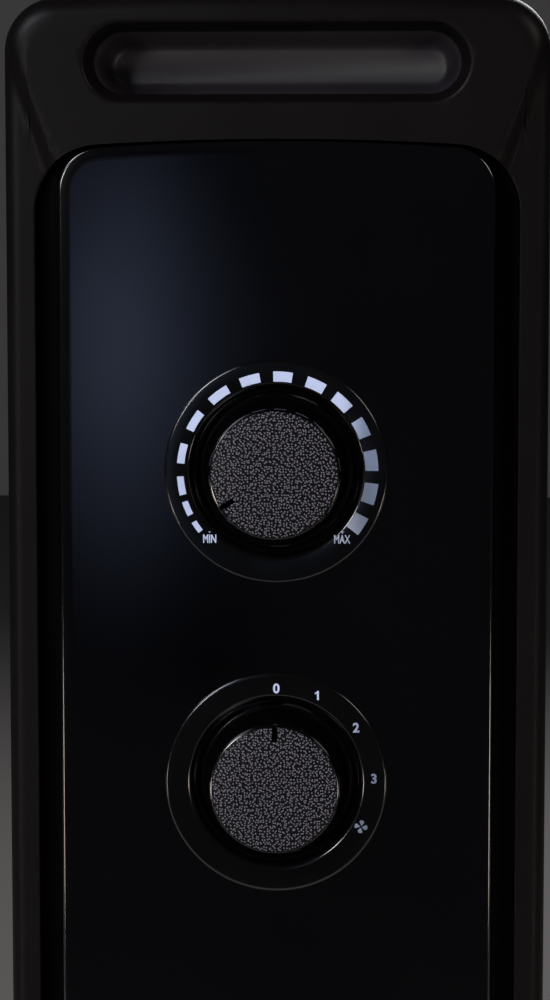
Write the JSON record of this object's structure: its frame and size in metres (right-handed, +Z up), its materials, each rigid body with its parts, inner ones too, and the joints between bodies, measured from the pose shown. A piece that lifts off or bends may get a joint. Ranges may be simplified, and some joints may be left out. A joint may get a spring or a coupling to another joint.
{
  "type": "oil-filled column heater",
  "caption": "Black oil-filled column heater on castors with a control head: thermostat dial, heat selector, carrying slot and fan outlet.",
  "frame": {"origin": "centre of the heater's bounding box at floor level", "axes": "+Z up; the control panel faces -Y and the fins are stacked along +Y; +X is to the right of someone facing the panel"},
  "size_m": [0.24, 0.421, 0.6398],
  "materials": {
    "fin_enamel": "baked black enamel, satin",
    "plate_enamel": "black powder coat",
    "castor_nylon": "moulded black nylon",
    "wheel_plastic": "moulded dark grey nylon",
    "zinc_steel": "zinc plated",
    "element_steel": "drawn steel sheath",
    "cover_plastic": "fine textured black ABS",
    "panel_gloss": "high gloss black ABS",
    "knob_gloss": "gloss black ABS, pebbled face",
    "grille_plastic": "heat resistant black plastic",
    "shield_steel": "galvanised sheet",
    "body_phenolic": "pale phenolic moulding",
    "motor_steel": "stamped laminations",
    "fan_plastic": "moulded black plastic",
    "mica_board": "mica board"
  },
  "bodies": {
    "root": {"booster_element": "mica_board", "control_bracket": "shield_steel", "control_panel": "panel_gloss", "cord_gland": "castor_nylon", "fan_duct": "shield_steel", "fan_motor": "motor_steel", "fin_01": "fin_enamel", "fin_02": "fin_enamel", "fin_03": "fin_enamel", "fin_04": "fin_enamel", "fin_05": "fin_enamel", "fin_06": "fin_enamel", "fin_07": "fin_enamel", "fin_08": "fin_enamel", "fin_09": "fin_enamel", "front_clamp_strap": "zinc_steel", "front_cover": "cover_plastic", "front_wheel_plate": "plate_enamel", "handle_cup": "cover_plastic", "heat_shield": "shield_steel", "immersion_element": "element_steel", "outlet_grille": "grille_plastic", "rear_clamp_strap": "zinc_steel", "rear_housing": "cover_plastic", "rear_wheel_plate": "plate_enamel", "selector_switch": "body_phenolic", "terminal_block": "body_phenolic", "thermal_cutout": "zinc_steel", "thermostat_body": "body_phenolic", "tilt_switch": "body_phenolic"},
    "thermostat_dial": {"thermostat_knob": "knob_gloss", "thermostat_spindle": "zinc_steel"},
    "selector_dial": {"selector_knob": "knob_gloss", "selector_spindle": "zinc_steel"},
    "booster_fan": {"fan_impeller": "fan_plastic"},
    "castor_fl": {"castor_fork_fl": "castor_nylon"},
    "roller_fl": {"castor_wheel_fl": "wheel_plastic"},
    "castor_fr": {"castor_fork_fr": "castor_nylon"},
    "roller_fr": {"castor_wheel_fr": "wheel_plastic"},
    "castor_rl": {"castor_fork_rl": "castor_nylon"},
    "roller_rl": {"castor_wheel_rl": "wheel_plastic"},
    "castor_rr": {"castor_fork_rr": "castor_nylon"},
    "roller_rr": {"castor_wheel_rr": "wheel_plastic"}
  },
  "joints": [
    {"name": "thermostat_turn", "type": "hinge", "parent": "root", "child": "thermostat_dial", "pos_m": [0, -0.1985, 0.4996], "axis": [0, 1, 0], "range_deg": [0, 244]},
    {"name": "selector_turn", "type": "hinge", "parent": "root", "child": "selector_dial", "pos_m": [0, -0.1985, 0.407], "axis": [0, 1, 0], "range_deg": [0, 118]},
    {"name": "fan_spin", "type": "hinge", "parent": "root", "child": "booster_fan", "pos_m": [0, -0.1615, 0.2098], "axis": [0, 1, 0], "continuous": true},
    {"name": "castor_fl_swivel", "type": "hinge", "parent": "root", "child": "castor_fl", "pos_m": [-0.1, -0.0489, 0.045], "axis": [0, 0, 1], "continuous": true},
    {"name": "roller_fl_spin", "type": "hinge", "parent": "castor_fl", "child": "roller_fl", "pos_m": [-0.1, -0.0349, 0.02], "axis": [1, 0, 0], "continuous": true},
    {"name": "castor_fr_swivel", "type": "hinge", "parent": "root", "child": "castor_fr", "pos_m": [0.1, -0.0489, 0.045], "axis": [0, 0, 1], "continuous": true},
    {"name": "roller_fr_spin", "type": "hinge", "parent": "castor_fr", "child": "roller_fr", "pos_m": [0.1, -0.0349, 0.02], "axis": [1, 0, 0], "continuous": true},
    {"name": "castor_rl_swivel", "type": "hinge", "parent": "root", "child": "castor_rl", "pos_m": [-0.1, 0.1311, 0.045], "axis": [0, 0, 1], "continuous": true},
    {"name": "roller_rl_spin", "type": "hinge", "parent": "castor_rl", "child": "roller_rl", "pos_m": [-0.1, 0.1451, 0.02], "axis": [1, 0, 0], "continuous": true},
    {"name": "castor_rr_swivel", "type": "hinge", "parent": "root", "child": "castor_rr", "pos_m": [0.1, 0.1311, 0.045], "axis": [0, 0, 1], "continuous": true},
    {"name": "roller_rr_spin", "type": "hinge", "parent": "castor_rr", "child": "roller_rr", "pos_m": [0.1, 0.1451, 0.02], "axis": [1, 0, 0], "continuous": true}
  ]
}
